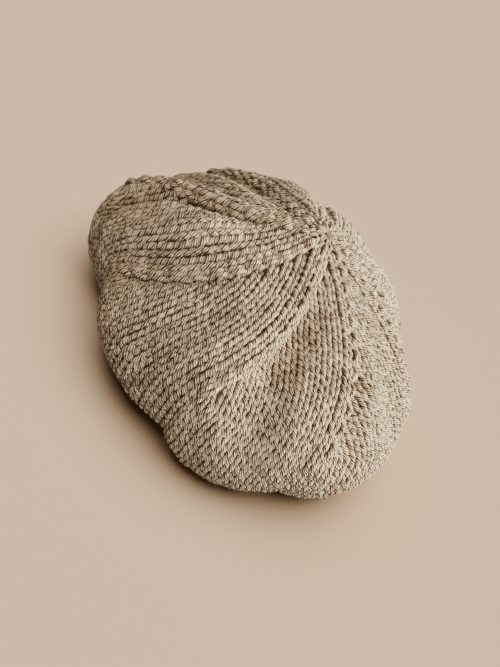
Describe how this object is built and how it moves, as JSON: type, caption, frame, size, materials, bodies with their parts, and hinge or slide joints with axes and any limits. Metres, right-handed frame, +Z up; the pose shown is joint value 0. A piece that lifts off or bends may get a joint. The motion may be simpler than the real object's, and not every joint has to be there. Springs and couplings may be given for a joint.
{
  "type": "knit beret",
  "caption": "Hand-knitted beret with a puffed, gored crown and a ribbed headband, worn on the head.",
  "frame": {"origin": "centre of the beret's bounding box, on the surface that the headband stands on", "axes": "+Z up through the crown centre; -Y is the side that faces the viewer"},
  "size_m": [0.2588, 0.2692, 0.1272],
  "materials": {
    "yarn": "heathered beige bulky yarn, stocking stitch, slight sheen",
    "band_yarn": "heathered beige bulky yarn, one by one rib"
  },
  "bodies": {
    "root": {"crown": "yarn", "band": "band_yarn"}
  },
  "joints": []
}
